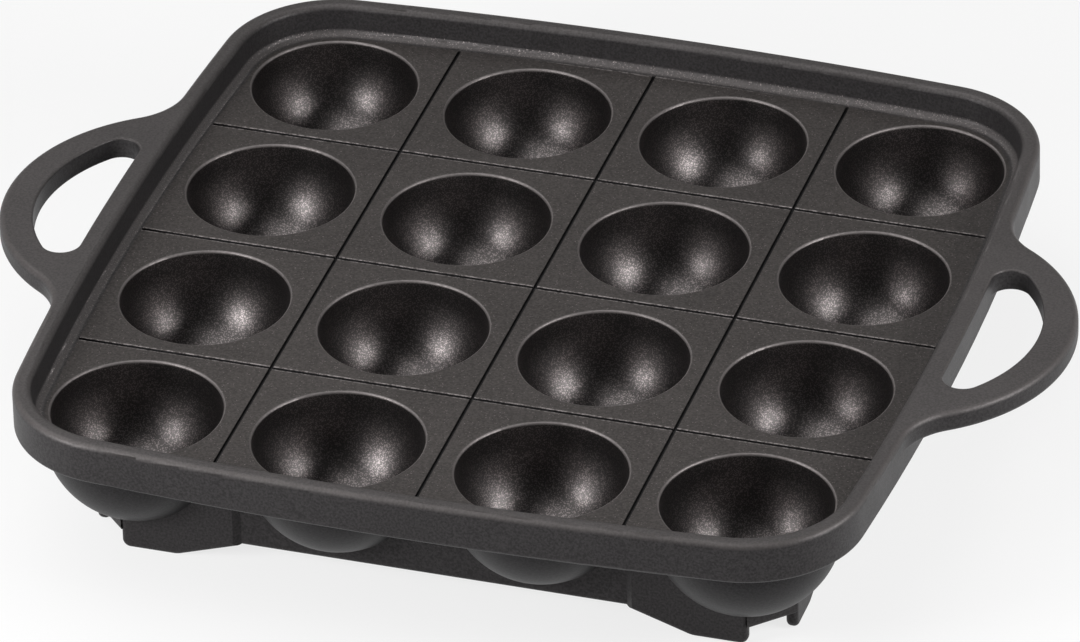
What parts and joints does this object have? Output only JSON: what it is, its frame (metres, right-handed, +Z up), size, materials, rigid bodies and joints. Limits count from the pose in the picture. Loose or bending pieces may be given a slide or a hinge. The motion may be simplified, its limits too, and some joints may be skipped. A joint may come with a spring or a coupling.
{
  "type": "takoyaki maker",
  "caption": "Square stove-top plate with a grid of round cups for octopus dumplings, score lines between the cups, a raised rim, loop handles and a footed skirt below.",
  "frame": {"origin": "on the surface that the feet stand on, under the middle of the plate", "axes": "+X to the right handle, +Y to the back, +Z up"},
  "size_m": [0.261, 0.21, 0.0409],
  "materials": {
    "cooking_surface": "cast aluminium under a satin charcoal non-stick coating with a fine metallic fleck",
    "rim_and_handles": "cast aluminium under a satin charcoal non-stick coating, fine-grained",
    "underside": "cast aluminium under a thin matt charcoal coating"
  },
  "bodies": {
    "root": {"corner_web_back_left": "underside", "corner_web_back_right": "underside", "corner_web_front_left": "underside", "corner_web_front_right": "underside", "cup_row1_col1": "cooking_surface", "cup_row1_col2": "cooking_surface", "cup_row1_col3": "cooking_surface", "cup_row1_col4": "cooking_surface", "cup_row2_col1": "cooking_surface", "cup_row2_col2": "cooking_surface", "cup_row2_col3": "cooking_surface", "cup_row2_col4": "cooking_surface", "cup_row3_col1": "cooking_surface", "cup_row3_col2": "cooking_surface", "cup_row3_col3": "cooking_surface", "cup_row3_col4": "cooking_surface", "cup_row4_col1": "cooking_surface", "cup_row4_col2": "cooking_surface", "cup_row4_col3": "cooking_surface", "cup_row4_col4": "cooking_surface", "foot_back_left": "underside", "foot_back_right": "underside", "foot_front_left": "underside", "foot_front_right": "underside", "foot_left_back": "underside", "foot_left_front": "underside", "foot_right_back": "underside", "foot_right_front": "underside", "handle_left": "rim_and_handles", "handle_right": "rim_and_handles", "rim_back": "rim_and_handles", "rim_corner_back_left": "rim_and_handles", "rim_corner_back_right": "rim_and_handles", "rim_corner_front_left": "rim_and_handles", "rim_corner_front_right": "rim_and_handles", "rim_front": "rim_and_handles", "rim_left": "rim_and_handles", "rim_right": "rim_and_handles", "skirt_back": "underside", "skirt_front": "underside", "skirt_left": "underside", "skirt_right": "underside"}
  },
  "joints": []
}
